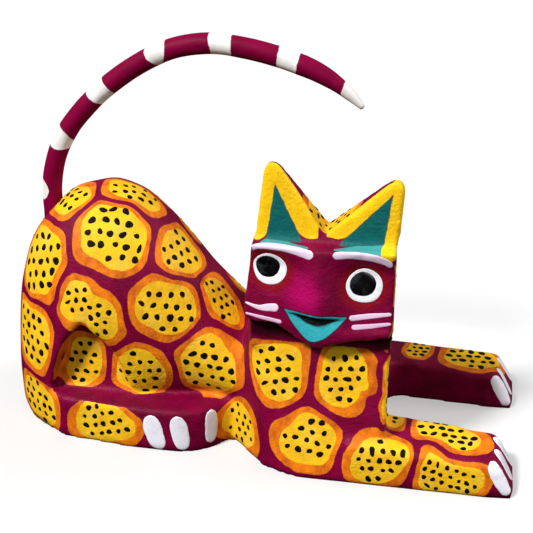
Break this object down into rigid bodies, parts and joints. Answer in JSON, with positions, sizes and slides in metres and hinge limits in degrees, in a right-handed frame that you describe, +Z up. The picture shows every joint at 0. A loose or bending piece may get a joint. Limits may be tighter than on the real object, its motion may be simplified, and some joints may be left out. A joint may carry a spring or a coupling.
{
  "type": "alebrije figure",
  "caption": "Carved and painted wooden figure of a reclining cat with its head turned to one side and a plug-in curved stick tail; stands free on a shelf.",
  "frame": {"origin": "middle of the whole figure's bounding box in X and Y, on the surface it lies on", "axes": "+X from the rump to the front paws, -Y the side the face looks to, +Z up"},
  "size_m": [0.165, 0.0706, 0.1285],
  "materials": {
    "painted_body": "satin acrylic paint on copal wood: orange and yellow dotted spots on plum",
    "painted_tail": "satin acrylic paint on wood: plum with white rings"
  },
  "bodies": {
    "body": {"carved_body": "painted_body"},
    "tail": {"tail": "painted_tail"}
  },
  "joints": [
    {"name": "tail_pull", "type": "slide", "parent": "body", "child": "tail", "axis": [0, 0, 1], "range_m": [0, 0.02]}
  ]
}
